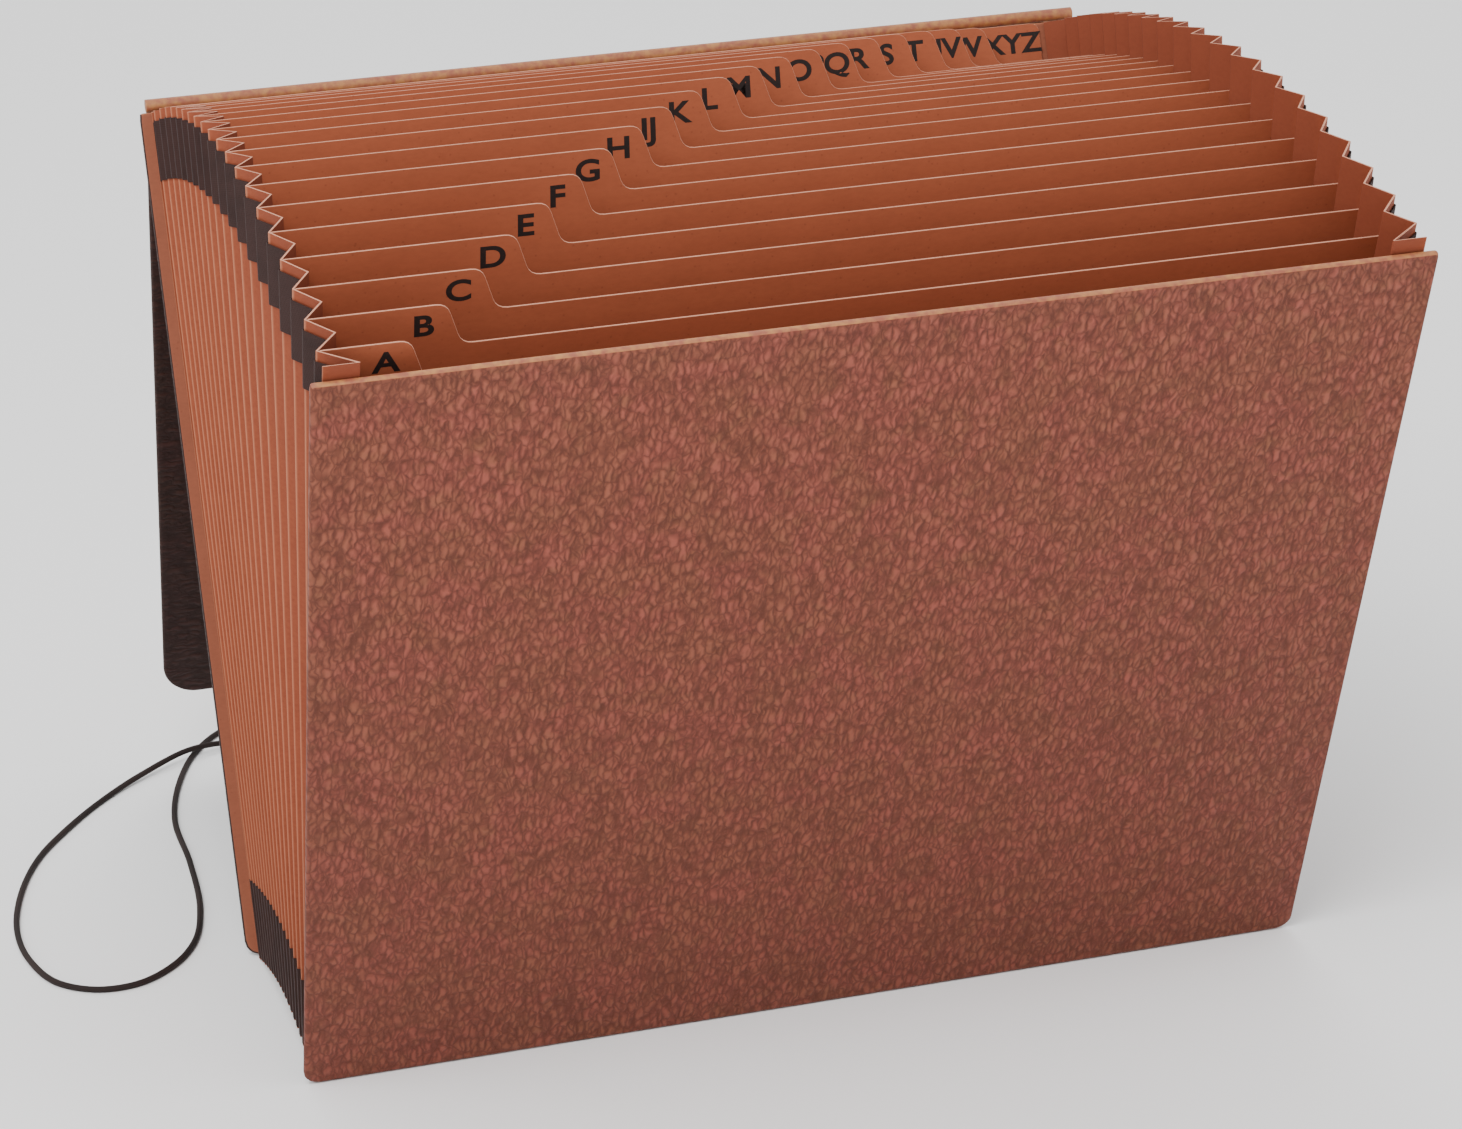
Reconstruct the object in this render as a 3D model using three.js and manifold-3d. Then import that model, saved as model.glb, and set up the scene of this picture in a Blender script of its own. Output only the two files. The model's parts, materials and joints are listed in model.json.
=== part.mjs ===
// An A to Z expanding file of letter size, standing on its lower edge and fanned open.
// Two boards carry a pleated gusset at each side and one along the bottom. A tabbed divider stands
// in each outward fold, a flap hangs behind the back board, and an elastic loop closes the file.
// Millimetres. +Z is up, +X is to the right of the file and +Y is towards its back.
import * as THREE from "three";
import { mergeVertices } from "three/addons/utils/BufferGeometryUtils.js";
import Module from "manifold-3d";

// Boards
const BOARD_WIDTH = 304.8;
const FRONT_HEIGHT = 256;
const BACK_HEIGHT = 260;
const BOARD_THICKNESS = 2.2;
const BOARD_CORNER = 5;
const BOARD_TOP_CORNER = 1.5;

// Pleated gussets
const SHEET_HEIGHT = 260;
const SHEET_THICKNESS = 0.5;
const LEG = 9.5;
const FOLD_INSET = 3.5;

// Cloth tape on the gussets
const TAPE_THICKNESS = 0.3;
const TOP_TAPE_WIDTH = 18;
const TOP_TAPE_DROP = 3;
const BASE_TAPE_WIDTH = 24;
const BASE_TAPE_RISE = 0.6;

// Fan
const FRONT_LEAN = THREE.MathUtils.degToRad(22);
const BACK_LEAN = THREE.MathUtils.degToRad(18);
const BASE_DEPTH = 88;
const BASE_ARCH = 7;
const FRONT_BIAS = 0.085;

// Dividers and linings
const INDEX = ["a", "b", "c", "d", "e", "f", "g", "h", "ij", "k", "l", "m", "n", "o", "pq", "r", "s",
  "t", "uv", "w"];
const DIVIDER_THICKNESS = 0.5;
const TAB_HEIGHT = 12.7;
const TAB_FIRST_END = -121;
const TAB_PITCH = 12.7;
const TAB_SLANT = 4;
const TAB_CORNER = 3;
const TAB_FILLET = 3;
const LINING_THICKNESS = 0.5;
const LINING_MARGIN = 1.5;
const LINING_DROP = 4;

// Flap and its fold
const FLAP_WIDTH = 300;
const FLAP_LENGTH = 232;
const FLAP_THICKNESS = 2;
const FLAP_CORNER = 12;
const FLAP_HANG = THREE.MathUtils.degToRad(19);
const FLAP_LINING_MARGIN = 5;
const SPINE_RADIUS = 2;
const SPINE_RISE = 2.3;
const SPINE_SETBACK = 0.6;
const SPINE_SIDES = 16;

// Elastic loop and its eyelets
const CORD_RADIUS = 1;
const CORD_SIDES = 8;
const CORD_STEPS = 80;
const EYELET_SPACING = 20;
const EYELET_HEIGHT = 75;
const EYELET_FLANGE = 4.5;
const EYELET_RIM = 0.6;
const EYELET_WALL = 0.6;
const EYELET_SIDES = 20;

const GAP = 0.3;
const ARC_STEPS = 4;
const BARE_BANDS = 4;

const PLEATS = INDEX.length;
const HALF_WIDTH = BOARD_WIDTH / 2;
const BOARD_OFFSET = SHEET_THICKNESS / 2 + GAP;
const DIVIDER_ROOM = (DIVIDER_THICKNESS + SHEET_THICKNESS) / 2 + GAP;
const EYELET_BORE = CORD_RADIUS + GAP;
const EYELET_HOLE = EYELET_BORE + EYELET_WALL + GAP;

const wasm = await Module();
wasm.setup();

const material = (color, roughness) =>
  new THREE.MeshStandardMaterial({ color, roughness, metalness: 0 });
const leather = material(0x8e5a44, 0.55);
const card = material(0xb4694a, 0.9);
const cloth = material(0x3a2e2c, 0.95);
const lining = material(0x9c5a42, 0.9);
const elastic = material(0x241f1f, 0.8);
const brass = new THREE.MeshStandardMaterial({ color: 0xb08d4c, roughness: 0.35, metalness: 1 });

const root = new THREE.Group();
const file = new THREE.Group();
root.add(file);

function addMesh(parent, name, geometry, look) {
  const mesh = new THREE.Mesh(geometry, look);
  mesh.name = name;
  parent.add(mesh);
  return mesh;
}

// Solids for cutting

function toSolid(geometry) {
  const bare = geometry.clone();
  bare.deleteAttribute("normal");
  bare.deleteAttribute("uv");
  const merged = mergeVertices(bare, 1e-4);
  return new wasm.Manifold(new wasm.Mesh({
    numProp: 3,
    vertProperties: merged.attributes.position.array,
    triVerts: new Uint32Array(merged.index.array),
  }));
}

function toGeometry(solid) {
  const mesh = solid.getMesh();
  const geometry = new THREE.BufferGeometry();
  geometry.setAttribute("position", new THREE.BufferAttribute(mesh.vertProperties, 3));
  geometry.setIndex(new THREE.BufferAttribute(mesh.triVerts, 1));
  geometry.computeVertexNormals();
  return geometry;
}

const cut = (geometry, tool) => toGeometry(toSolid(geometry).subtract(toSolid(tool)));

// The fan. Share 0 is the front board and share 1 the back board.

function fanAt(share) {
  const spread = share + FRONT_BIAS * Math.sin(Math.PI * share) ** 2;
  return {
    lean: -FRONT_LEAN + (FRONT_LEAN + BACK_LEAN) * spread,
    footY: BASE_DEPTH * share,
    footZ: BASE_ARCH * Math.sin(Math.PI * share),
  };
}

// The point at a height up the sheet at a share of the fan, and a distance behind the sheet.
function fanPoint(share, x, height, behind = 0) {
  const { lean, footY, footZ } = fanAt(share);
  return new THREE.Vector3(
    x,
    footY + height * Math.sin(lean) + behind * Math.cos(lean),
    footZ + height * Math.cos(lean) - behind * Math.sin(lean),
  );
}

// A group in which x runs along the sheet, y up it and z towards the front of the file.
function fanGroup(share) {
  const group = new THREE.Group();
  const { lean, footY, footZ } = fanAt(share);
  group.position.set(0, footY, footZ);
  group.rotation.x = Math.PI / 2 - lean;
  file.add(group);
  return group;
}

const outerShare = (k) => (k + 0.5) / PLEATS;
const innerShare = (k) => k / PLEATS;

// Pleated sheets

// The path at a distance to the left of a folded path: one point inside a fold, two outside it.
function offsetPath(path, distance) {
  const side = (a, b) => new THREE.Vector2(a.y - b.y, b.x - a.x).normalize().multiplyScalar(distance);
  const result = [path[0].clone().add(side(path[0], path[1]))];
  for (let i = 1; i < path.length - 1; i++) {
    const before = side(path[i - 1], path[i]);
    const after = side(path[i], path[i + 1]);
    const turn = before.cross(after);
    if (turn * distance < 0) {
      result.push(path[i].clone().add(before), path[i].clone().add(after));
    } else {
      const bisector = before.clone().add(after);
      bisector.multiplyScalar((distance * distance * 2) / bisector.lengthSq());
      result.push(path[i].clone().add(bisector));
    }
  }
  const last = path.length - 1;
  result.push(path[last].clone().add(side(path[last - 1], path[last])));
  return result;
}

// The closed outline of a sheet that follows a path between two distances to its left.
function sheetOutline(path, near, far) {
  return [...offsetPath(path, near), ...offsetPath(path, far).reverse()];
}

// A closed body through a row of outlines with matching points, each given flat and in space. The
// outlines follow each other the way that their flat axes face.
function loft(rings) {
  if (THREE.ShapeUtils.isClockWise(rings[0].flat)) {
    for (const ring of rings) {
      ring.flat.reverse();
      ring.points.reverse();
    }
  }
  const count = rings[0].flat.length;
  const last = (rings.length - 1) * count;
  const index = [];
  for (const [a, b, c] of THREE.ShapeUtils.triangulateShape(rings[0].flat, [])) index.push(c, b, a);
  for (const [a, b, c] of THREE.ShapeUtils.triangulateShape(rings.at(-1).flat, [])) {
    index.push(a + last, b + last, c + last);
  }
  for (let start = 0; start < last; start += count) {
    for (let i = 0; i < count; i++) {
      const [a, b] = [start + i, start + ((i + 1) % count)];
      index.push(a, b, b + count, a, b + count, a + count);
    }
  }
  const geometry = new THREE.BufferGeometry().setFromPoints(rings.flatMap((ring) => ring.points));
  geometry.setIndex(index);
  geometry.computeVertexNormals();
  return geometry;
}

// How far an inward fold reaches in from the outward folds on both sides of it.
function foldReach(a, b) {
  return Math.sqrt(LEG * LEG - a.distanceToSquared(b) / 4);
}

// The folds of the right gusset at the foot or the head of the sheets: x across, y back, and the
// height of each fold. The first and the last leg lie flat on the boards.
function gussetFolds(height) {
  const edge = HALF_WIDTH - FOLD_INSET;
  const outer = (k) => fanPoint(outerShare(k), edge, height);
  const folds = [fanPoint(0, edge, height), fanPoint(0, edge - LEG, height)];
  for (let k = 0; k < PLEATS; k++) {
    folds.push(outer(k));
    if (k === PLEATS - 1) continue;
    const inner = fanPoint(innerShare(k + 1), edge, height);
    inner.x -= foldReach(outer(k), outer(k + 1));
    folds.push(inner);
  }
  folds.push(fanPoint(1, edge - LEG, height), fanPoint(1, edge, height));
  return folds;
}

const footFolds = gussetFolds(0);
const headFolds = gussetFolds(SHEET_HEIGHT);

// A pleated sheet through a row of heights, at two distances outside the gusset's middle.
function pleatedSheet(heights, near, far, mirror) {
  return loft(heights.map((height) => {
    const folds = footFolds.map((foot, i) => foot.clone().lerp(headFolds[i], height / SHEET_HEIGHT));
    const outline = sheetOutline(folds.map((p) => new THREE.Vector2(p.x, p.y)), -near, -far);
    return {
      flat: outline.map((p) => new THREE.Vector2(p.x * mirror, p.y)),
      points: outline.map((p) => new THREE.Vector3(p.x * mirror, p.y, nearestHeight(folds, p))),
    };
  }));
}

function nearestHeight(folds, point) {
  const flat = (fold) => (fold.x - point.x) ** 2 + (fold.y - point.y) ** 2;
  return folds.reduce((best, fold) => (flat(fold) < flat(best) ? fold : best)).z;
}

function addGusset(side, mirror) {
  const half = SHEET_THICKNESS / 2;
  const near = half + GAP;
  const far = near + TAPE_THICKNESS;
  const base = [BASE_TAPE_RISE, BASE_TAPE_RISE + BASE_TAPE_WIDTH];
  const tapeTop = SHEET_HEIGHT - TOP_TAPE_DROP;
  const top = [tapeTop - TOP_TAPE_WIDTH, tapeTop];
  const bare = (i) => THREE.MathUtils.lerp(base[1], top[0], i / BARE_BANDS);
  const between = Array.from({ length: BARE_BANDS - 1 }, (_, i) => bare(i + 1));
  addMesh(file, `gusset_${side}`,
    pleatedSheet([0, ...base, ...between, ...top, SHEET_HEIGHT], -half, half, mirror), card);
  addMesh(file, `tape_${side}_top`, pleatedSheet(top, near, far, mirror), cloth);
  addMesh(file, `tape_${side}_base`, pleatedSheet(base, near, far, mirror), cloth);
}

// The gusset along the bottom, between the inward folds of the side gussets.
function addBottomGusset() {
  const foot = (share, height) => {
    const p = fanPoint(share, 0, height);
    return new THREE.Vector2(p.y, p.z);
  };
  const lift = SHEET_THICKNESS;
  const folds = [foot(0, lift), foot(0, LEG)];
  for (let k = 0; k < PLEATS; k++) {
    folds.push(foot(outerShare(k), lift));
    if (k === PLEATS - 1) continue;
    const reach = foldReach(foot(outerShare(k), 0), foot(outerShare(k + 1), 0));
    folds.push(foot(innerShare(k + 1), reach));
  }
  folds.push(foot(1, LEG), foot(1, lift));
  const outline = sheetOutline(folds, -SHEET_THICKNESS / 2, SHEET_THICKNESS / 2);
  const end = HALF_WIDTH - FOLD_INSET - LEG - SHEET_THICKNESS - GAP;
  const rings = [-end, end].map((x) => ({
    flat: outline.map((p) => p.clone()),
    points: outline.map((p) => new THREE.Vector3(x, p.x, p.y)),
  }));
  addMesh(file, "gusset_bottom", loft(rings), card);
}

// Flat sheets and boards

function roundedOutline(left, right, bottom, top, lowRadius, highRadius) {
  const shape = new THREE.Shape();
  shape.moveTo(left + lowRadius, bottom);
  shape.lineTo(right - lowRadius, bottom);
  shape.absarc(right - lowRadius, bottom + lowRadius, lowRadius, -Math.PI / 2, 0);
  shape.lineTo(right, top - highRadius);
  shape.absarc(right - highRadius, top - highRadius, highRadius, 0, Math.PI / 2);
  shape.lineTo(left + highRadius, top);
  shape.absarc(left + highRadius, top - highRadius, highRadius, Math.PI / 2, Math.PI);
  shape.lineTo(left, bottom + lowRadius);
  shape.absarc(left + lowRadius, bottom + lowRadius, lowRadius, Math.PI, Math.PI * 1.5);
  return shape;
}

// A sheet cut to a shape, from a distance in front of its group's plane.
function flatSheet(shape, start, thickness) {
  const geometry = new THREE.ExtrudeGeometry(shape, {
    depth: thickness, bevelEnabled: false, curveSegments: ARC_STEPS,
  });
  return geometry.translate(0, 0, start);
}

// The half-space under the floor, in the frame of a group that stands on the fan.
function belowFloor(group) {
  const size = BOARD_WIDTH * 2;
  const box = new THREE.BoxGeometry(size, size, size).translate(0, 0, -size / 2);
  group.updateMatrix();
  return box.applyMatrix4(group.matrix.clone().invert());
}

const sideEdge = HALF_WIDTH - FOLD_INSET - LEG - SHEET_THICKNESS - LINING_MARGIN;

function addFrontBoard() {
  const group = fanGroup(0);
  const outline = roundedOutline(-HALF_WIDTH, HALF_WIDTH, 0, FRONT_HEIGHT, BOARD_CORNER, BOARD_TOP_CORNER);
  const board = flatSheet(outline, BOARD_OFFSET, BOARD_THICKNESS);
  addMesh(group, "front_panel", cut(board, belowFloor(group)), leather);
  const inside = roundedOutline(-sideEdge, sideEdge, LEG + LINING_DROP, FRONT_HEIGHT - LINING_DROP,
    BOARD_TOP_CORNER, BOARD_TOP_CORNER);
  addMesh(group, "front_lining",
    flatSheet(inside, BOARD_OFFSET - GAP - LINING_THICKNESS, LINING_THICKNESS), lining);
}

function eyeletX(side) {
  return (side * EYELET_SPACING) / 2;
}

function addBackBoard() {
  const group = fanGroup(1);
  const outline = roundedOutline(-HALF_WIDTH, HALF_WIDTH, 0, BACK_HEIGHT, BOARD_CORNER, BOARD_TOP_CORNER);
  for (const side of [-1, 1]) {
    const hole = new THREE.Path();
    hole.absarc(eyeletX(side), EYELET_HEIGHT, EYELET_HOLE, 0, Math.PI * 2, true);
    outline.holes.push(hole);
  }
  const board = flatSheet(outline, -BOARD_OFFSET - BOARD_THICKNESS, BOARD_THICKNESS);
  addMesh(group, "back_panel", cut(board, belowFloor(group)), leather);
  addMesh(group, "index_xyz",
    flatSheet(dividerOutline(PLEATS, sideEdge, sideEdge, LEG + LINING_DROP), GAP - BOARD_OFFSET,
      LINING_THICKNESS), card);
  addEyelets(group);
}

// A flanged tube pressed through the back board, one at each end of the elastic.
function addEyelets(group) {
  const face = BOARD_OFFSET + BOARD_THICKNESS + GAP;
  const profile = [
    [EYELET_BORE, -BOARD_OFFSET - GAP],
    [EYELET_BORE + EYELET_WALL, -BOARD_OFFSET - GAP],
    [EYELET_BORE + EYELET_WALL, -face],
    [EYELET_FLANGE, -face],
    [EYELET_FLANGE, -face - EYELET_RIM],
    [EYELET_BORE, -face - EYELET_RIM],
    [EYELET_BORE, -BOARD_OFFSET - GAP],
  ].map(([radius, z]) => new THREE.Vector2(radius, z)).reverse();
  for (const [name, side] of [["left", -1], ["right", 1]]) {
    const ring = new THREE.LatheGeometry(profile, EYELET_SIDES);
    ring.rotateX(Math.PI / 2).translate(eyeletX(side), EYELET_HEIGHT, 0);
    addMesh(group, `eyelet_${name}`, ring, brass);
  }
}

// How far a divider's edge must stay inside its own outward fold to stand clear of both legs.
function edgeClearance(k, height) {
  const fold = fanPoint(outerShare(k), 0, height);
  const halves = [k, k + 1].map((i) => fanPoint(innerShare(i), 0, height).distanceTo(fold));
  return DIVIDER_ROOM / Math.tan(Math.asin(Math.min(...halves) / LEG));
}

// A divider's outline: a low body with a raised part from its left edge to its own step.
function dividerOutline(step, footEdge, headEdge, bottom) {
  const top = SHEET_HEIGHT;
  const shoulder = top - TAB_HEIGHT;
  const reach = TAB_FIRST_END + step * TAB_PITCH;
  const shape = new THREE.Shape();
  shape.moveTo(-footEdge, bottom);
  shape.lineTo(footEdge, bottom);
  if (step < PLEATS) {
    shape.lineTo(headEdge, shoulder);
    shape.lineTo(reach + TAB_FILLET, shoulder);
    shape.quadraticCurveTo(reach, shoulder, reach - TAB_SLANT * (TAB_FILLET / TAB_HEIGHT),
      shoulder + TAB_FILLET);
    shape.lineTo(reach - TAB_SLANT * (1 - TAB_CORNER / TAB_HEIGHT), top - TAB_CORNER);
    shape.quadraticCurveTo(reach - TAB_SLANT, top, reach - TAB_SLANT - TAB_CORNER, top);
  } else {
    shape.lineTo(headEdge, top - TAB_CORNER);
    shape.quadraticCurveTo(headEdge, top, headEdge - TAB_CORNER, top);
  }
  shape.lineTo(-headEdge, top);
  return shape;
}

function addDividers() {
  const outer = HALF_WIDTH - FOLD_INSET;
  INDEX.forEach((letters, k) => {
    const foot = edgeClearance(k, 0);
    const head = edgeClearance(k, SHEET_HEIGHT);
    const outline = dividerOutline(k, outer - foot, outer - head, foot + SHEET_THICKNESS);
    addMesh(fanGroup(outerShare(k)), `divider_${letters}`,
      flatSheet(outline, -DIVIDER_THICKNESS / 2, DIVIDER_THICKNESS), card);
  });
}

// The flap turns on a rolled fold just above the back board.
function addFlap() {
  const axis = fanPoint(1, 0, BACK_HEIGHT + SPINE_RISE, BOARD_OFFSET + BOARD_THICKNESS + SPINE_SETBACK);
  const spine = new THREE.CylinderGeometry(SPINE_RADIUS, SPINE_RADIUS, FLAP_WIDTH, SPINE_SIDES);
  spine.rotateZ(Math.PI / 2);
  addMesh(file, "flap_spine", spine, leather).position.copy(axis);
  const group = new THREE.Group();
  group.position.copy(axis);
  group.rotation.x = FLAP_HANG - Math.PI / 2;
  file.add(group);
  const half = FLAP_WIDTH / 2;
  const start = SPINE_RADIUS + GAP;
  const outline = roundedOutline(-half, half, -FLAP_LENGTH, -start, FLAP_CORNER, BOARD_TOP_CORNER);
  const board = flatSheet(outline, -FLAP_THICKNESS / 2, FLAP_THICKNESS).rotateX(Math.PI);
  addMesh(group, "flap", board, leather);
  const edge = half - FLAP_LINING_MARGIN;
  const inside = roundedOutline(-edge, edge, -FLAP_LENGTH + FLAP_LINING_MARGIN,
    -start - FLAP_LINING_MARGIN, FLAP_CORNER, BOARD_TOP_CORNER);
  const liningStart = -FLAP_THICKNESS / 2 - GAP - LINING_THICKNESS;
  addMesh(group, "flap_lining", flatSheet(inside, liningStart, LINING_THICKNESS).rotateX(Math.PI), lining);
}

// The elastic: it leaves one eyelet, falls to the floor, makes its loop at the left of the file and
// comes back to the other eyelet. Points on the floor and over the crossing, then the fall from an
// eyelet and the distance out from it.
const FLOOR_ROUTE = [
  [9, 160, 1.0], [2, 186, 1.0], [-10, 215, 1.0], [-28, 248, 1.0], [-52, 274, 1.0], [-80, 289, 1.0],
  [-106, 289, 1.0], [-126, 279, 1.0], [-139, 262, 1.0], [-150, 233, 1.0], [-156, 203, 1.0],
  [-157, 167, 1.0], [-160, 130, 1.0], [-166, 105, 1.0], [-175, 90, 1.0], [-187, 81, 1.0],
  [-199, 81, 1.0], [-210, 90, 1.0], [-216, 109, 1.0], [-217, 133, 1.0], [-212, 162, 1.0],
  [-203, 188, 1.0], [-191, 209, 1.0], [-176, 230, 1.0], [-160, 246, 1.9], [-142, 258, 3.5],
  [-128, 263, 2.4], [-110, 265, 1.0], [-88, 260, 1.0], [-64, 243, 1.0], [-44, 217, 1.0],
  [-28, 185, 1.0], [-16, 160, 1.0],
];
const DROP_ROUTE = [
  [0, 0], [1, 8], [10, 16], [26, 20], [45.3, 24.3], [54.2, 29.3], [57.4, 37.1], [56.4, 47.8],
];

function addCord() {
  const mouth = BOARD_OFFSET + BOARD_THICKNESS + GAP + EYELET_RIM + GAP;
  const drop = (side) => DROP_ROUTE.map(
    ([fall, out]) => fanPoint(1, eyeletX(side), EYELET_HEIGHT - fall, mouth + out));
  const floor = FLOOR_ROUTE.map(([x, y, z]) => new THREE.Vector3(x, y, z));
  const route = [...drop(1), ...floor, ...drop(-1).reverse()];
  const curve = new THREE.CatmullRomCurve3(route, false, "centripetal");
  curve.arcLengthDivisions = CORD_STEPS * 10;
  const section = new THREE.Shape();
  for (let i = 0; i < CORD_SIDES; i++) {
    const angle = ((i + 0.5) * 2 * Math.PI) / CORD_SIDES;
    const method = i === 0 ? "moveTo" : "lineTo";
    section[method](CORD_RADIUS * Math.cos(angle), CORD_RADIUS * Math.sin(angle));
  }
  const tube = new THREE.ExtrudeGeometry(section, { steps: CORD_STEPS, extrudePath: curve });
  addMesh(file, "elastic_cord", tube, elastic);
}

addFrontBoard();
addBackBoard();
addGusset("right", 1);
addGusset("left", -1);
addBottomGusset();
addDividers();
addFlap();

// The origin is on the floor, under the middle of the file without its elastic.
root.updateMatrixWorld(true);
const box = new THREE.Box3().setFromObject(file, true);
file.position.y = -(box.min.y + box.max.y) / 2;

addCord();

export default root;
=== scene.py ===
"""An A to Z accordion file of letter size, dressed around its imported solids."""

import json
import math

import bmesh
import bpy
from bpy.props import FloatProperty, FloatVectorProperty, PointerProperty
from mathutils import Matrix, Vector, noise


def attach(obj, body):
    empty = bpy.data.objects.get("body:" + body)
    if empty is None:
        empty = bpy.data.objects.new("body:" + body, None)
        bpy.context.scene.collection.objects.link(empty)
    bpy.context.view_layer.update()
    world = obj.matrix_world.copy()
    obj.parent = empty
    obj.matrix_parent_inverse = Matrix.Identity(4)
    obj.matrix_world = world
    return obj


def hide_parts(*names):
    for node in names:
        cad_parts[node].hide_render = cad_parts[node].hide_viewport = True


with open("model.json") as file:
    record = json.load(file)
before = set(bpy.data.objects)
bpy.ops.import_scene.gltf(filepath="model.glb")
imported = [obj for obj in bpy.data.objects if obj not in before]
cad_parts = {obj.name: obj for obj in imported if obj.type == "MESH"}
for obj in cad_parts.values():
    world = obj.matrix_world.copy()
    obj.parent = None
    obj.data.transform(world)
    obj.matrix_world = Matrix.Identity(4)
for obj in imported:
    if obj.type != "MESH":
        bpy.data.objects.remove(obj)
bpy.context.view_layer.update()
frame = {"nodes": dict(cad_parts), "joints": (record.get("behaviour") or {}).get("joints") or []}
NODES = frame["nodes"]

bl_info = {
    "name": "Accordion file",
    "version": (1, 0, 0),
    "blender": (4, 5, 0),
    "location": "View3D > Sidebar > Accordion file",
    "description": "Makes the covers, gussets, dividers, flap and elastic of an accordion file",
    "category": "Add Mesh",
}

MM = 0.001

# The fan that the sheets stand in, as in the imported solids
PLEATS = 20
FRONT_LEAN = math.radians(22)
BACK_LEAN = math.radians(18)
BASE_DEPTH = 88 * MM
BASE_ARCH = 7 * MM
FRONT_BIAS = 0.085
FRONT_FOOT = -75.1347 * MM

BOARD_WIDTH = 304.8 * MM
FRONT_HEIGHT = 256 * MM
BACK_HEIGHT = 260 * MM
BOARD_THICKNESS = 2.2 * MM
BOARD_OFFSET = 0.55 * MM
BOARD_CORNER = 5 * MM
BOARD_TOP_CORNER = 1.5 * MM
SHEET_HEIGHT = 260 * MM
FOLD_INSET = 3.5 * MM

FLAP_WIDTH = 300 * MM
FLAP_LENGTH = 232 * MM
FLAP_THICKNESS = 2 * MM
FLAP_CORNER = 12 * MM
FLAP_START = 2.3 * MM
FLAP_HANG = math.radians(19)

FOLD_LINE = BOARD_WIDTH / 2 - FOLD_INSET

# Start of the random draws behind the grain, which would otherwise follow the clock
GRAIN_SEED = 7

EYELET_SPACING = 20 * MM
EYELET_HEIGHT = 75 * MM
EYELET_HOLE = 2.2 * MM
CORD_MOUTH = 3.95 * MM
CORD_RADIUS = 1 * MM

# Index words, front to back, and how they stand on their tabs
INDEX = ["A", "B", "C", "D", "E", "F", "G", "H", "IJ", "K", "L", "M", "N", "O", "PQ", "R", "S",
         "T", "UV", "W"]
TAB_FIRST_END = -121 * MM
TAB_PITCH = 12.7 * MM
LETTER_INSET = 10.2 * MM
LETTER_TOP = 2.7 * MM
LAST_WORD = "XYZ"
LAST_WORD_X = 127.6 * MM

# The floor part of the elastic's route, in millimetres from the foot of the front board
FLOOR_ROUTE = [
    (9, 160, 1.0), (2, 186, 1.0), (-10, 215, 1.0), (-28, 248, 1.0), (-52, 274, 1.0),
    (-80, 289, 1.0), (-106, 289, 1.0), (-126, 279, 1.0), (-139, 262, 1.0), (-150, 233, 1.0),
    (-156, 203, 1.0), (-157, 167, 1.0), (-160, 130, 1.0), (-166, 105, 1.0), (-175, 90, 1.0),
    (-187, 81, 1.0), (-199, 81, 1.0), (-210, 90, 1.0), (-216, 109, 1.0), (-217, 133, 1.0),
    (-212, 162, 1.0), (-203, 188, 1.0), (-191, 209, 1.0), (-176, 230, 1.0), (-160, 246, 1.9),
    (-142, 258, 3.5), (-128, 263, 2.4), (-110, 265, 1.0), (-88, 260, 1.0), (-64, 243, 1.0),
    (-44, 217, 1.0), (-28, 185, 1.0), (-16, 160, 1.0),
]
DROP_ROUTE = [(0, 0), (1, 8), (10, 16), (26, 20), (45.3, 24.3), (54.2, 29.3), (57.4, 37.1),
              (56.4, 47.8)]
CORD_STEPS = 640
CORD_SIDES = 16

# The camera of the photograph, in the frame of the file
CAMERA_PLACE = (-0.3241, -1.1686, 0.5414)
CAMERA_YAW = math.radians(15.6)
CAMERA_PITCH = math.radians(-19.5)
CAMERA_ROLL = math.radians(-2.24)
CAMERA_LENS = 4241 / 1462 * 36

# Name, place, power in watts and size of each soft light, and what they light
LIGHTS = (
    ("key_light", (-0.75, -0.95, 1.5), 32, 1.1),
    ("fill_light", (1.9, -1.6, 2.2), 9, 2.4),
    ("back_light", (0.4, 2.0, 2.6), 30, 2.0),
)
LIGHT_AIM = (0, 0, 0.1)
SKY_STRENGTH = 1.0
FLOOR_SIZE = 12

# Broken edges, and how far the covered boards stand off their foot line
EDGE_ROUND = 0.7 * MM
EDGE_STEPS = 3
SHEET_BREAK = 0.1 * MM
PLEAT_BREAK = 0.12 * MM
TAPE_BREAK = 0.08 * MM
EYELET_BREAK = 0.22 * MM
BOARD_LIFT = 1.25 * MM

# Mesh cells of the embossed faces, across and up each board
FRONT_CELL = (0.72 * MM, 1.5 * MM)
BACK_CELL = (1.1 * MM, 2.2 * MM)
FLAP_CELL = (1.9 * MM, 0.8 * MM)

# Share of the elastic's radius that its braid stands up, and strands of one hand round it
BRAID_RELIEF = 0.07
STRANDS = 4

# How the plain font is made bolder and wider for the index, and its gap to the card
LETTER_BOLD = 0.026
LETTER_STRETCH = 1.15
PRINT_GAP = 0.01 * MM


def hex_colour(text):
    """The linear colour of an sRGB hex value."""
    parts = [int(text[i:i + 2], 16) / 255 for i in (1, 3, 5)]
    return tuple(c / 12.92 if c <= 0.04045 else ((c + 0.055) / 1.055) ** 2.4 for c in parts)


def colour_property(name, description, text):
    """A colour that a user may change."""
    return FloatVectorProperty(name=name, description=description, subtype="COLOR", size=3,
                               min=0, max=1, default=hex_colour(text))


def length_property(name, description, millimetres):
    """A length that a user may change."""
    return FloatProperty(name=name, description=description, subtype="DISTANCE", unit="LENGTH",
                         min=0, precision=5, default=millimetres * MM)


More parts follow.
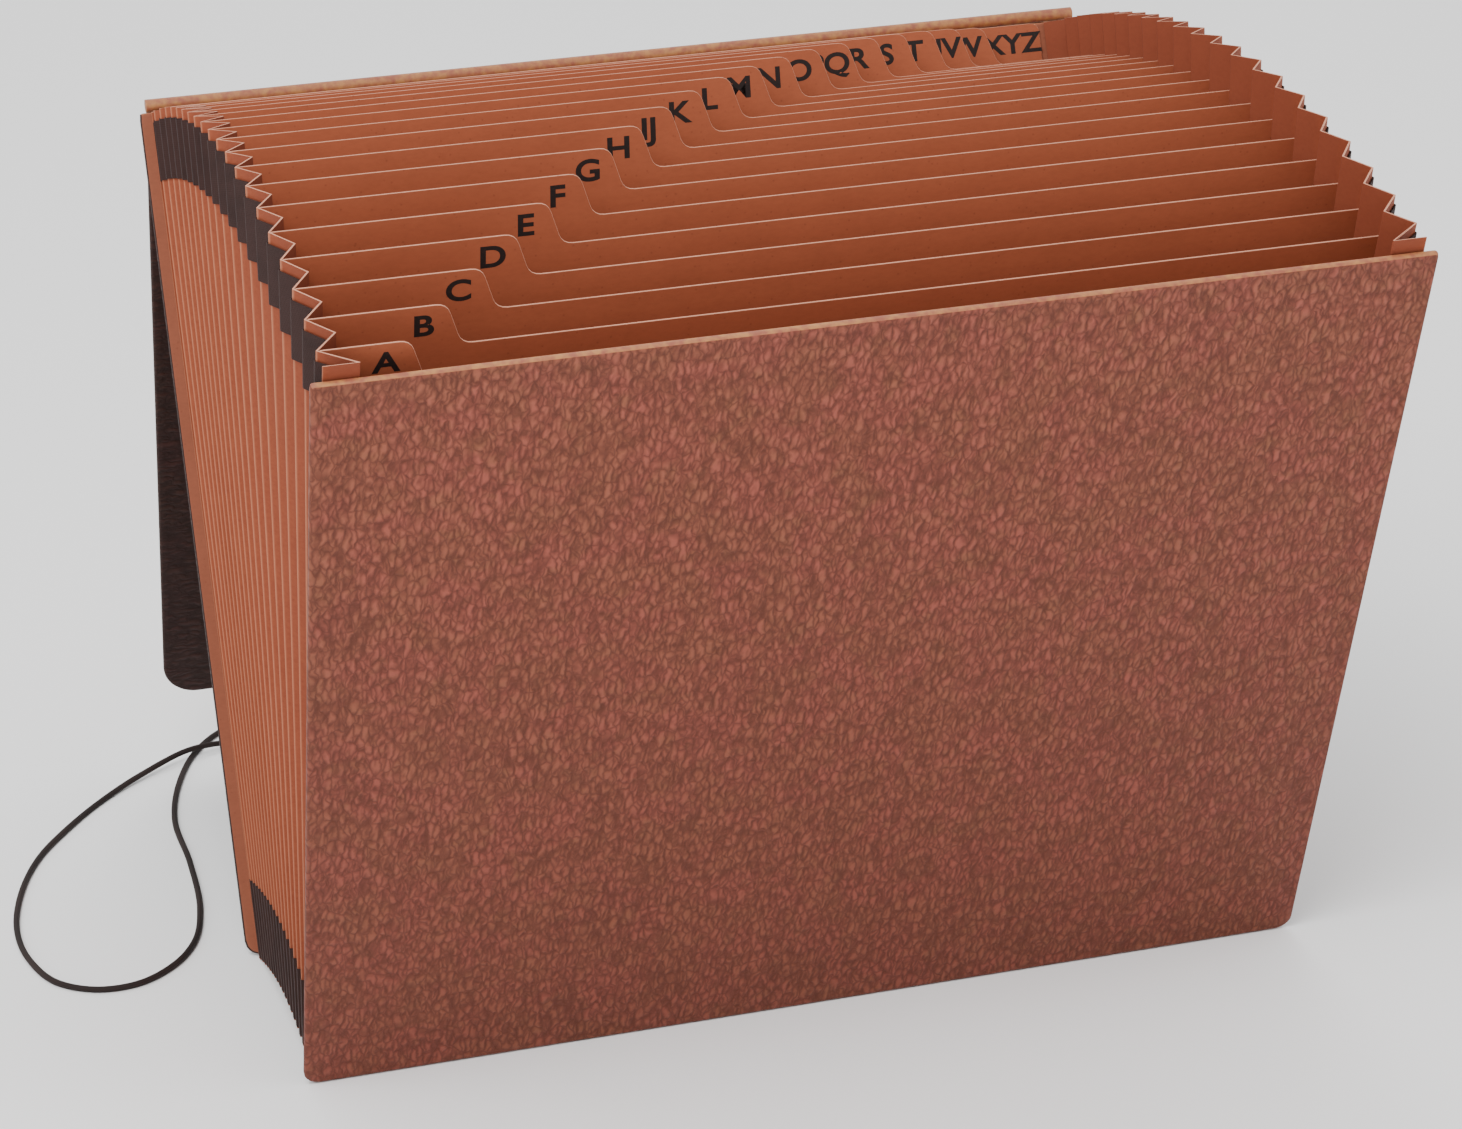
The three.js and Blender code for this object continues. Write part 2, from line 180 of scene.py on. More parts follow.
class FileSizes(bpy.types.PropertyGroup):
    """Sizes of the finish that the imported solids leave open."""

    grain_width: length_property("Grain width", "Width of one pebble of the embossed grain", 1.8)
    grain_length: length_property("Grain length", "Length of one pebble up the board", 6.0)
    grain_depth: length_property("Grain depth", "Depth of the creases of the grain", 0.26)
    letter_height: length_property("Letter height", "Height of the index capitals", 6.2)
    ink_thickness: length_property("Ink thickness", "Height of the print over its card", 0.02)
    thread_pitch: length_property("Thread pitch", "Spacing of the threads of the tape", 0.55)
    braid_pitch: length_property("Braid pitch", "Spacing of the strands of the elastic", 1.1)


class FileColours(bpy.types.PropertyGroup):
    """Colours of the finishes."""

    leather: colour_property("Leather", "Raised grain of the covers", "#8D4D37")
    # The crease colour is also the colour of painted shade, in the creases and towards the foot of
    # the covers.
    crease: colour_property("Crease", "Creases of the covers", "#4C2216")
    leather_edge: colour_property("Leather edge", "Turned and rubbed board edge", "#A8703F")
    card: colour_property("Card", "Dividers and gussets", "#944E33")
    card_dark: colour_property("Card fibres", "Darker fibres of the card", "#7B3822")
    card_edge: colour_property("Cut edge", "Cut edges of the card", "#C98F76")
    lining: colour_property("Lining", "Paper inside the boards and flap", "#8A4F39")
    tape: colour_property("Tape", "Cloth tape on the gussets", "#2C1A17")
    brass: colour_property("Brass", "Eyelets", "#B8955A")
    elastic: colour_property("Elastic", "Braided elastic", "#211715")
    ink: colour_property("Ink", "Printed index letters", "#1F1614")
    floor: colour_property("Floor", "Pale studio floor", "#FAFAFA")


def sizes():
    """The user's sizes."""
    return bpy.context.scene.accordion_file_sizes


def colours():
    """The user's colours."""
    return bpy.context.scene.accordion_file_colours


def rgba(colour):
    """A colour with full opacity."""
    return (*colour, 1)


# Places in the fan. Share 0 is the front board and share 1 the back board.


def fan_matrix(share):
    """The place of a sheet: x across, y up the sheet, z towards the front of the file."""
    spread = share + FRONT_BIAS * math.sin(math.pi * share) ** 2
    lean = -FRONT_LEAN + (FRONT_LEAN + BACK_LEAN) * spread
    up = Vector((0, math.sin(lean), math.cos(lean)))
    out = Vector((0, -math.cos(lean), math.sin(lean)))
    place = Matrix.Identity(4)
    for row in range(3):
        place[row][0] = 1.0 if row == 0 else 0.0
        place[row][1] = up[row]
        place[row][2] = out[row]
    place.translation = (0, FRONT_FOOT + BASE_DEPTH * share, BASE_ARCH * math.sin(math.pi * share))
    return place


def flap_matrix():
    """The place of the flap at rest: y towards its fold, z towards the front of the file."""
    axis = frame["joints"][0]["pos_m"]
    up = Vector((0, -math.sin(FLAP_HANG), math.cos(FLAP_HANG)))
    out = Vector((0, -math.cos(FLAP_HANG), -math.sin(FLAP_HANG)))
    place = Matrix.Identity(4)
    for row in range(3):
        place[row][1] = up[row]
        place[row][2] = out[row]
    place.translation = axis
    return place


def outer_share(k):
    """The share of an outward fold."""
    return (k + 0.5) / PLEATS


def clear_selection():
    """Leaves edit mode and deselects all."""
    if bpy.context.object and bpy.context.object.mode != "OBJECT":
        bpy.ops.object.mode_set(mode="OBJECT")
    bpy.ops.object.select_all(action="DESELECT")


def select_only(obj):
    """Makes one object the selected and active one."""
    clear_selection()
    obj.select_set(True)
    bpy.context.view_layer.objects.active = obj


def apply_modifier(obj, kind, **settings):
    """Adds a modifier with its settings and applies it."""
    select_only(obj)
    modifier = obj.modifiers.new(kind.title(), kind)
    for key, value in settings.items():
        setattr(modifier, key, value)
    bpy.ops.object.modifier_apply(modifier=modifier.name)


def smooth(obj, degrees=40):
    """Shades smooth below an angle."""
    select_only(obj)
    bpy.ops.object.shade_smooth_by_angle(angle=math.radians(degrees))


def settle(obj, body, stands_for=()):
    """Hangs a finished piece on its body and hides the solids that it stands for."""
    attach(obj, body)
    if stands_for:
        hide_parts(*stands_for)


# Materials


def node(tree, kind, inputs=None, **settings):
    """Adds a shader node with its settings, its values and its links."""
    made = tree.nodes.new(kind)
    for key, value in settings.items():
        setattr(made, key, value)
    for key, value in (inputs or {}).items():
        if isinstance(value, bpy.types.NodeSocket):
            tree.links.new(value, made.inputs[key])
        else:
            made.inputs[key].default_value = value
    return made


def blank_material(name):
    """A material with an empty node tree, or the one that is there already."""
    if name in bpy.data.materials:
        return bpy.data.materials[name], None
    material = bpy.data.materials.new(name)
    material.use_nodes = True
    material.node_tree.nodes.clear()
    return material, material.node_tree


def close_material(tree, inputs):
    """Ends a tree in its surface shader."""
    shader = node(tree, "ShaderNodeBsdfPrincipled", inputs)
    node(tree, "ShaderNodeOutputMaterial", {"Surface": shader.outputs[0]})


def blend_colours(tree, factor, first, second):
    """The mix of two colours."""
    mixed = node(tree, "ShaderNodeMix", {0: factor, 6: first, 7: second}, data_type="RGBA")
    return mixed.outputs[2]


def span(tree, value, low, high, start=0.0, end=1.0):
    """A value mapped from one range to another and held inside it."""
    inputs = {"Value": value, "From Min": low, "From Max": high, "To Min": start, "To Max": end}
    return node(tree, "ShaderNodeMapRange", inputs).outputs[0]


def embossed_leather(name="embossed_bonded_leather", shade=1.0, along=(1.0, 1.0, 0.24)):
    """Bonded leather over board: plate-embossed grain, with painted shade in the creases and rubbed
    on top.
    """
    material, tree = blank_material(name)
    if tree is None:
        return material

    def tone(colour):
        return rgba([c * shade for c in colour])

    place = node(tree, "ShaderNodeTexCoord").outputs["Object"]
    relief = node(tree, "ShaderNodeAttribute", attribute_name="relief").outputs["Fac"]
    # Redder and browner clouds, about a centimetre across.
    cloud = node(tree, "ShaderNodeTexNoise", {"Vector": place, "Scale": 70.0, "Detail": 3.0})
    patch = node(tree, "ShaderNodeTexNoise", {"Vector": place, "Scale": 190.0, "Detail": 2.0})
    base = blend_colours(tree, span(tree, cloud.outputs[0], 0.4, 0.6), tone(colours().leather),
                         tone(hex_colour("#944A3B")))
    base = blend_colours(tree, span(tree, patch.outputs[0], 0.5, 0.72, 0.0, 0.6), base,
                         tone(hex_colour("#7E4C30")))
    # Painted shade: the cover is darkened a little towards the foot of the file.
    foot = node(tree, "ShaderNodeSeparateXYZ", {0: place}).outputs[2]
    base = blend_colours(tree, span(tree, foot, 0.0, 0.24, 0.42, 0.0), base, tone(colours().crease))
    # Creases finer than the mesh holds, 1.9 mm apart and stretched along the grain.
    wander = node(tree, "ShaderNodeTexNoise", {"Vector": place, "Scale": 260.0, "Detail": 2.0})
    drift = node(tree, "ShaderNodeVectorMath",
                 {0: wander.outputs["Color"], 1: (0.5, 0.5, 0.5)}, operation="SUBTRACT")
    bent = node(tree, "ShaderNodeVectorMath", {0: drift.outputs[0], 1: (0.003, 0.003, 0.003),
                                               2: place}, operation="MULTIPLY_ADD")
    stretched = node(tree, "ShaderNodeMapping", {"Vector": bent.outputs[0], "Scale": along})
    fine = node(tree, "ShaderNodeTexVoronoi", {"Vector": stretched.outputs[0], "Scale": 520.0},
                feature="DISTANCE_TO_EDGE")
    fine_height = span(tree, fine.outputs["Distance"], 0.0, 0.3)
    depth = node(tree, "ShaderNodeMath", {0: span(tree, relief, 0.05, 0.75, 0.4, 1.0),
                                          1: span(tree, fine_height, 0.0, 1.0, 0.3, 1.0)},
                 operation="MULTIPLY").outputs[0]
    # Painted shade: the coarse and the fine creases are darkened towards the crease colour.
    colour = blend_colours(tree, depth, tone(colours().crease), base)
    bump = node(tree, "ShaderNodeBump",
                {"Strength": 0.7, "Distance": 0.0002, "Height": fine_height})
    close_material(tree, {
        "Base Color": colour, "Roughness": span(tree, depth, 0.0, 1.0, 0.72, 0.56),
        "Specular IOR Level": 0.3, "IOR": 1.5, "Normal": bump.outputs[0]})
    return material


def shaded_leather():
    """The same leather with painted shade, darker in tone, for the covers that stand in the file's
    own shade.
    """
    return embossed_leather("painted_shade_bonded_leather", 0.15, (0.24, 1.0, 1.0))


def rubbed_leather():
    """The turned edge of the cover, rubbed lighter where hands lift it."""
    material, tree = blank_material("rubbed_leather_edge")
    if tree is None:
        return material
    place = node(tree, "ShaderNodeTexCoord").outputs["Object"]
    scuff = node(tree, "ShaderNodeTexNoise", {"Vector": place, "Scale": 420.0, "Detail": 4.0})
    colour = blend_colours(tree, span(tree, scuff.outputs[0], 0.35, 0.65), rgba(colours().leather),
                           rgba(colours().leather_edge))
    bump = node(tree, "ShaderNodeBump",
                {"Strength": 0.4, "Distance": 0.0001, "Height": scuff.outputs[0]})
    close_material(tree, {"Base Color": colour, "Roughness": 0.6, "Normal": bump.outputs[0]})
    return material


def calendered_card(name, base, dark, fibre=1.0, folded=False):
    """Dyed fibre card, rolled matt: short darker fibres, faint clouds and a paper tooth."""
    material, tree = blank_material(name)
    if tree is None:
        return material
    place = node(tree, "ShaderNodeTexCoord").outputs["Object"]
    cloud = node(tree, "ShaderNodeTexNoise", {"Vector": place, "Scale": 60.0, "Detail": 5.0,
                                              "Roughness": 0.6})
    fibres = node(tree, "ShaderNodeTexNoise",
                  {"Vector": node(tree, "ShaderNodeMapping",
                                  {"Vector": place, "Scale": (0.45, 1.0, 1.0)}).outputs[0],
                   "Scale": 900.0 * fibre, "Detail": 3.0, "Roughness": 0.65})
    specks = node(tree, "ShaderNodeTexVoronoi", {"Vector": place, "Scale": 380.0})
    tone = node(tree, "ShaderNodeMath",
                {0: span(tree, cloud.outputs[0], 0.3, 0.7, 0.0, 0.4),
                 1: span(tree, fibres.outputs[0], 0.4, 0.75, 0.0, 0.5)}, operation="ADD")
    colour = blend_colours(tree, tone.outputs[0], rgba(base), rgba(dark))
    colour = blend_colours(tree, span(tree, specks.outputs["Distance"], 0.05, 0.16, 0.35, 0.0),
                           colour, rgba(hex_colour("#6B3322")))
    if folded:
        # Painted highlight and wear: the outward folds are painted pale. Painted shade: the legs
        # darken just inside them.
        across = node(tree, "ShaderNodeSeparateXYZ", {0: place}).outputs[0]
        reach = node(tree, "ShaderNodeMath", {0: across}, operation="ABSOLUTE").outputs[0]
        colour = blend_colours(tree, span(tree, reach, FOLD_LINE - 2.4 * MM, FOLD_LINE - 0.5 * MM,
                                          0.5, 0.0), colour, rgba(hex_colour("#7A3C29")))
        colour = blend_colours(tree, span(tree, reach, FOLD_LINE - 0.3 * MM, FOLD_LINE + 0.2 * MM,
                                          0.0, 0.75), colour, rgba(hex_colour("#B97A5C")))
    bump = node(tree, "ShaderNodeBump",
                {"Strength": 0.35, "Distance": 0.00006, "Height": fibres.outputs[0]})
    close_material(tree, {"Base Color": colour, "Roughness": 0.82, "Specular IOR Level": 0.25,
                          "Normal": bump.outputs[0]})
    return material


def card_face():
    """The face of the dyed card."""
    face = [c * 1.22 for c in colours().card]
    return calendered_card("calendered_fibre_card", face, colours().card)


def folded_card():
    """The same card where it is creased into pleats, with painted highlight, wear and painted shade
    at the folds.
    """
    # The card of the pleats is a darker, redder tone of the card colour.
    pleat_tone = [c * s for c, s in zip(colours().card, (0.88, 0.8, 0.76))]
    return calendered_card("creased_fibre_card", pleat_tone, colours().card_dark, folded=True)


def card_edge():
    """The pale sheared edge of the card, where the dye didn't reach."""
    edge = colours().card_edge
    return calendered_card("sheared_card_edge", edge, [c * 0.78 for c in edge], 1.6)


def lining_paper():
    """Matt dyed paper, pasted inside the boards."""
    lining = colours().lining
    return calendered_card("pasted_lining_paper", lining, [c * 0.8 for c in lining], 1.3)


def woven_tape():
    """Sized cotton tape: a plain weave of threads, drawn at the spacing that still shows."""
    material, tree = blank_material("woven_cotton_tape")
    if tree is None:
        return material
    pitch = sizes().thread_pitch
    place = node(tree, "ShaderNodeUVMap", uv_map="cloth").outputs[0]
    waves = []
    for direction in ("X", "Y"):
        wave = node(tree, "ShaderNodeTexWave",
                    {"Vector": place, "Scale": math.tau / (20 * pitch), "Distortion": 0.4,
                     "Detail": 1.0, "Detail Scale": 2.0},
                    wave_type="BANDS", bands_direction=direction)
        waves.append(wave.outputs["Fac"])
    weave = node(tree, "ShaderNodeMath", {0: waves[0], 1: waves[1]}, operation="MAXIMUM").outputs[0]
    object_place = node(tree, "ShaderNodeTexCoord").outputs["Object"]
    fade = node(tree, "ShaderNodeTexNoise", {"Vector": object_place, "Scale": 130.0, "Detail": 4.0})
    # Painted highlight: the raised threads of the weave are painted lighter than the gaps between
    # them.
    light = rgba([min(1, c * 1.8) for c in colours().tape])
    colour = blend_colours(tree, span(tree, weave, 0.3, 1.0, 0.0, 0.5), rgba(colours().tape), light)
    colour = blend_colours(tree, span(tree, fade.outputs[0], 0.45, 0.7, 0.0, 0.5), colour,
                           rgba([c * 0.6 for c in colours().tape]))
    bump = node(tree, "ShaderNodeBump", {"Strength": 0.7, "Distance": 0.0001, "Height": weave})
    close_material(tree, {"Base Color": colour, "Roughness": 0.88, "Specular IOR Level": 0.3,
                          "Normal": bump.outputs[0]})
    return material


def braided_elastic():
    """Round braided elastic: two sets of glossy yarn crossing over a rubber core, with painted
    highlight on the raised strands.
    """
    material, tree = blank_material("braided_elastic")
    if tree is None:
        return material
    place = node(tree, "ShaderNodeUVMap", uv_map="braid").outputs[0]
    relief = node(tree, "ShaderNodeAttribute", attribute_name="relief").outputs["Fac"]
    yarn = node(tree, "ShaderNodeTexWave",
                {"Vector": place, "Scale": math.tau / 5, "Distortion": 0.2},
                bands_direction="DIAGONAL")
    # Painted highlight: the raised strands of the braid are painted lighter than the hollows
    # between them.
    light = rgba([min(1, c * 2.6) for c in colours().elastic])
    colour = blend_colours(tree, span(tree, relief, 0.35, 1.0, 0.0, 0.5), rgba(colours().elastic),
                           light)
    bump = node(tree, "ShaderNodeBump",
                {"Strength": 0.3, "Distance": 0.00005, "Height": yarn.outputs["Fac"]})
    close_material(tree, {"Base Color": colour, "Roughness": 0.75, "Specular IOR Level": 0.25,
                          "Normal": bump.outputs[0]})
    return material


def pressed_brass():
    """Stamped brass strip, satin from the die, with a little tarnish."""
    material, tree = blank_material("stamped_brass")
    if tree is None:
        return material
    place = node(tree, "ShaderNodeTexCoord").outputs["Object"]
    tarnish = node(tree, "ShaderNodeTexNoise", {"Vector": place, "Scale": 700.0, "Detail": 4.0})
    dull = rgba([c * 0.62 for c in colours().brass])
    colour = blend_colours(tree, span(tree, tarnish.outputs[0], 0.4, 0.7), rgba(colours().brass),
                           dull)
    close_material(tree, {"Base Color": colour, "Metallic": 1.0,
                          "Roughness": span(tree, tarnish.outputs[0], 0.3, 0.7, 0.24, 0.42)})
    return material


def printing_ink():
    """Matt offset ink, a little thin over the fibres."""
    material, tree = blank_material("matt_printing_ink")
    if tree is None:
        return material
    place = node(tree, "ShaderNodeTexCoord").outputs["Object"]
    thin = node(tree, "ShaderNodeTexNoise", {"Vector": place, "Scale": 1500.0, "Detail": 2.0})
    colour = blend_colours(tree, span(tree, thin.outputs[0], 0.55, 0.8, 0.0, 0.35),
                           rgba(colours().ink), rgba(hex_colour("#4A2C22")))
    close_material(tree, {"Base Color": colour, "Roughness": 0.7, "Specular IOR Level": 0.3})
    return material


def studio_floor():
    """A matt painted sweep."""
    material, tree = blank_material("matt_studio_floor")
    if tree is None:
        return material
    place = node(tree, "ShaderNodeTexCoord").outputs["Object"]
    drift = node(tree, "ShaderNodeTexNoise", {"Vector": place, "Scale": 3.0})
    colour = blend_colours(tree, span(tree, drift.outputs[0], 0.3, 0.7, 0.0, 0.02),
                           rgba(colours().floor), rgba([c * 0.9 for c in colours().floor]))
    close_material(tree, {"Base Color": colour, "Roughness": 0.9, "Specular IOR Level": 0.2})
    return material


# Shapes


def grain_height(x, y, stretch):
    """The height of the embossed grain at a point of a board, from 0 in a crease to 1 on top."""
    width, length = stretch
    # The hide's grain wanders, so the pebbles lean and swell a little from place to place.
    drift = noise.noise_vector(Vector((x / 0.035, y / 0.045, 3.1)))
    ripple = noise.noise_vector(Vector((x / 0.006, y / 0.008, 7.7)))
    u = x / width + 1.6 * drift.x + 0.45 * ripple.x
    v = y / length + 1.1 * drift.y + 0.3 * ripple.y
    near = noise.voronoi(Vector((u, v, 0.5)), distance_metric="DISTANCE", exponent=2.5)[0]
    crease = min(1.0, (near[1] - near[0]) / 0.24)
    swell = 0.5 + 0.5 * noise.noise(Vector((u * 0.9, v * 1.3, 11.0)))
    return crease * crease * (3 - 2 * crease) * (0.62 + 0.38 * swell)


def round_corner(x, y, half, low, high, low_radius, high_radius):
    """Draws the corner of a rectangle in to an arc and keeps the rest where it is."""
    middle = (low + high) / 2
    radius = high_radius if y > middle else low_radius
    centre_y = high - radius if y > middle else low + radius
    across = abs(x) - (half - radius)
    along = (y - centre_y) if y > middle else (centre_y - y)
    if radius <= 0 or across <= 0 or along <= 0:
        return x, y
    scale = max(across, along) / math.hypot(across, along)
    side = 1 if x > 0 else -1
    up = 1 if y > middle else -1
    return side * (half - radius + across * scale), centre_y + up * along * scale


def leather_board(name, width, low, high, back, face, radii, cell, grain):
    """A board in its cover: an embossed face, a rounded turned edge and a flat back."""
    clear_selection()
    noise.seed_set(GRAIN_SEED)
    low_radius, high_radius = (r - EDGE_ROUND for r in radii)
    half = width / 2 - EDGE_ROUND
    bottom = low + EDGE_ROUND
    top = high - EDGE_ROUND
    middle = (low + high) / 2
    bpy.ops.mesh.primitive_grid_add(x_subdivisions=round(width / cell[0]),
                                    y_subdivisions=round((high - low) / cell[1]), size=2)
    board = bpy.context.object
    board.name = name
    board.data.name = name
    board.scale = (half, (top - bottom) / 2, 1)
    board.location = (0, middle, face)
    bpy.ops.object.transform_apply(location=True, rotation=True, scale=True)
    relief = board.data.attributes.new("relief", "FLOAT", "POINT")
    depth = sizes().grain_depth
    for i, vertex in enumerate(board.data.vertices):
        x, y = round_corner(vertex.co.x, vertex.co.y, half, bottom, top, low_radius, high_radius)
        rim = min(half - abs(x), y - bottom, top - y)
        fade = max(0.0, min(1.0, rim / (1.5 * MM)))
        height = grain_height(x, y, grain)
        vertex.co = (x, y, face - depth * (1 - height) * fade)
        relief.data[i].value = height * fade + 0.6 * (1 - fade)
    turn_board_edge(board, half, (bottom, top), face, back)
    return board


def turn_board_edge(board, half, span_y, face, back):
    """Carries the rim of an embossed face round to the back of its board and closes it."""
    bottom, top = span_y
    middle = (bottom + top) / 2
    tall = (top - bottom) / 2
    select_only(board)
    bpy.ops.object.mode_set(mode="EDIT")
    bpy.ops.mesh.select_mode(type="EDGE")
    bpy.ops.mesh.select_all(action="DESELECT")
    bpy.ops.mesh.select_non_manifold()
    quarter = [math.pi / 2 * (i + 1) / EDGE_STEPS for i in range(EDGE_STEPS)]
    down = [(EDGE_ROUND * math.sin(a), face - EDGE_ROUND * (1 - math.cos(a))) for a in quarter]
    inward = [(EDGE_ROUND * math.cos(a), back + EDGE_ROUND * (1 - math.sin(a))) for a in quarter]
    out, level = 0.0, face
    for new_out, new_level in [*down, (EDGE_ROUND, back + EDGE_ROUND), *inward]:
        bpy.ops.mesh.extrude_edges_move(
            TRANSFORM_OT_translate={"value": (0, 0, new_level - level)})
        factors = ((half + new_out) / (half + out), (tall + new_out) / (tall + out), 1)
        bpy.ops.transform.resize(value=factors, center_override=(0, middle, new_level))
        out, level = new_out, new_level
    bpy.ops.mesh.edge_face_add()
    bpy.ops.mesh.select_all(action="SELECT")
    bpy.ops.mesh.normals_make_consistent(inside=False)
    bpy.ops.object.mode_set(mode="OBJECT")


def finish_board(board, place, leather, lined=True):
    """Gives a covered board its finishes and puts it in its place."""
    board.data.materials.append(leather)
    board.data.materials.append(rubbed_leather())
    if lined:
        board.data.materials.append(lining_paper())
        for face in board.data.polygons:
            if face.normal.z < -0.9:
                face.material_index = 2
            elif face.normal.y > 0.45:
                face.material_index = 1
    board.data.transform(place)
    smooth(board, 50)


def copy_of(node_name, piece_name):
    """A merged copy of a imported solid, as the start of a piece."""
    clear_selection()
    piece = bpy.data.objects.new(piece_name, NODES[node_name].data.copy())
    bpy.context.scene.collection.objects.link(piece)
    piece.data.materials.clear()
    select_only(piece)
    bpy.ops.object.mode_set(mode="EDIT")
    bpy.ops.mesh.select_all(action="SELECT")
    bpy.ops.mesh.customdata_custom_splitnormals_clear()
    bpy.ops.mesh.remove_doubles(threshold=1e-6)
    bpy.ops.mesh.dissolve_limited(angle_limit=math.radians(0.3))
    bpy.ops.object.mode_set(mode="OBJECT")
    return piece


def soften(piece, width, segments):
    """Breaks the sharp edges of a piece."""
    apply_modifier(piece, "BEVEL", width=width, segments=segments, limit_method="ANGLE",
                   angle_limit=math.radians(30))


def give_cut_edges(piece, normal, face, edge):
    """Puts the face finish on the flat sides of a sheet and the edge finish on its cut edges."""
    piece.data.materials.append(face)
    piece.data.materials.append(edge)
    for polygon in piece.data.polygons:
        polygon.material_index = 0 if abs(polygon.normal.dot(normal)) > 0.92 else 1


def sheet_piece(node_name, piece_name, share, face, edge):
    """A flat sheet of the fan with a light cut edge all round."""
    piece = copy_of(node_name, piece_name)
    soften(piece, SHEET_BREAK, 1)
    normal = fan_matrix(share).to_3x3() @ Vector((0, 0, 1))
    give_cut_edges(piece, normal, face, edge)
    smooth(piece, 25)
    settle(piece, "file", [node_name])


def lay_cloth_map(piece):
    """A map in metres along each leg of a pleated piece and up it, for the weave."""
    layer = piece.data.uv_layers.new(name="cloth")
    for polygon in piece.data.polygons:
        along = Vector((0, 0, 1)).cross(polygon.normal)
        if along.length < 0.1:
            along = Vector((1, 0, 0))
        along.normalize()
        up = polygon.normal.cross(along)
        for corner in polygon.loop_indices:
            point = piece.data.vertices[piece.data.loops[corner].vertex_index].co
            layer.data[corner].uv = (point.dot(along), point.dot(up))


def catmull_rom(points, steps):
    """Points along a centripetal curve through a route, at even steps."""
    route = [2 * points[0] - points[1], *points, 2 * points[-1] - points[-2]]
    dense = []
    for i in range(1, len(route) - 2):
        p = route[i - 1:i + 3]
        gap = [max(1e-9, (p[j + 1] - p[j]).length ** 0.5) for j in range(3)]
        first = ((p[1] - p[0]) / gap[0] - (p[2] - p[0]) / (gap[0] + gap[1])
                 + (p[2] - p[1]) / gap[1]) * gap[1]
        last = ((p[2] - p[1]) / gap[1] - (p[3] - p[1]) / (gap[1] + gap[2])
                + (p[3] - p[2]) / gap[2]) * gap[1]
        for j in range(60):
            t = j / 60
            dense.append(p[1] + first * t + (3 * (p[2] - p[1]) - 2 * first - last) * t ** 2
                         + (2 * (p[1] - p[2]) + first + last) * t ** 3)
    dense.append(points[-1])
    lengths = [0.0]
    for a, b in zip(dense, dense[1:]):
        lengths.append(lengths[-1] + (b - a).length)
    even, j = [], 0
    for i in range(steps + 1):
        goal = lengths[-1] * i / steps
        while j < len(lengths) - 2 and lengths[j + 1] < goal:
            j += 1
        share = (goal - lengths[j]) / max(1e-12, lengths[j + 1] - lengths[j])
        even.append(dense[j].lerp(dense[j + 1], min(1.0, share)))
    return even, lengths[-1]


def elastic_route():
    """The route of the elastic, from inside one eyelet round its loop to inside the other."""
    back = fan_matrix(1)

    def drop(side):
        points = [back @ Vector((side * EYELET_SPACING / 2, EYELET_HEIGHT - fall * MM,
                                 -CORD_MOUTH - out * MM)) for fall, out in DROP_ROUTE]
        inside = back @ Vector((side * EYELET_SPACING / 2, EYELET_HEIGHT, -BOARD_OFFSET - 0.5 * MM))
        return [inside, *points]

    floor = [Vector((x * MM, y * MM + FRONT_FOOT, z * MM)) for x, y, z in FLOOR_ROUTE]
    return [*drop(1), *floor, *reversed(drop(-1))]


class ACCORDION_OT_stage(bpy.types.Operator):
    """Adds the pale floor, the soft lights and the camera"""

    bl_idname = "accordion_file.add_stage"
    bl_label = "Stage"

    def execute(self, context):
        clear_selection()
        bpy.ops.mesh.primitive_plane_add(size=FLOOR_SIZE, location=(0, 0, 0))
        floor = context.object
        floor.name = "studio_floor"
        floor.data.materials.append(studio_floor())
        self.add_camera(context)
        for name, place, power, size in LIGHTS:
            bpy.ops.object.light_add(type="AREA", location=place)
            light = context.object
            light.name = name
            light.data.energy = power
            light.data.size = size
            aim = Vector(LIGHT_AIM) - Vector(place)
            light.rotation_euler = aim.to_track_quat("-Z", "Y").to_euler()
        world = bpy.data.worlds.new("soft_studio")
        world.use_nodes = True
        world.node_tree.nodes.clear()
        sky = node(world.node_tree, "ShaderNodeBackground",
                   {"Color": (1, 1, 1, 1), "Strength": SKY_STRENGTH})
        node(world.node_tree, "ShaderNodeOutputWorld", {"Surface": sky.outputs[0]})
        context.scene.world = world
        return {"FINISHED"}

    def add_camera(self, context):
        forward = Vector((math.sin(CAMERA_YAW) * math.cos(CAMERA_PITCH),
                          math.cos(CAMERA_YAW) * math.cos(CAMERA_PITCH), math.sin(CAMERA_PITCH)))
        level = Vector((math.cos(CAMERA_YAW), -math.sin(CAMERA_YAW), 0))
        upright = level.cross(forward)
        right = level * math.cos(CAMERA_ROLL) + upright * math.sin(CAMERA_ROLL)
        up = upright * math.cos(CAMERA_ROLL) - level * math.sin(CAMERA_ROLL)
        turn = Matrix((right, up, -forward)).transposed()
        bpy.ops.object.camera_add(location=CAMERA_PLACE, rotation=turn.to_euler())
        camera = context.object
        camera.name = "photo_camera"
        camera.data.sensor_fit = "HORIZONTAL"
        camera.data.sensor_width = 36
        camera.data.lens = CAMERA_LENS
        context.scene.camera = camera


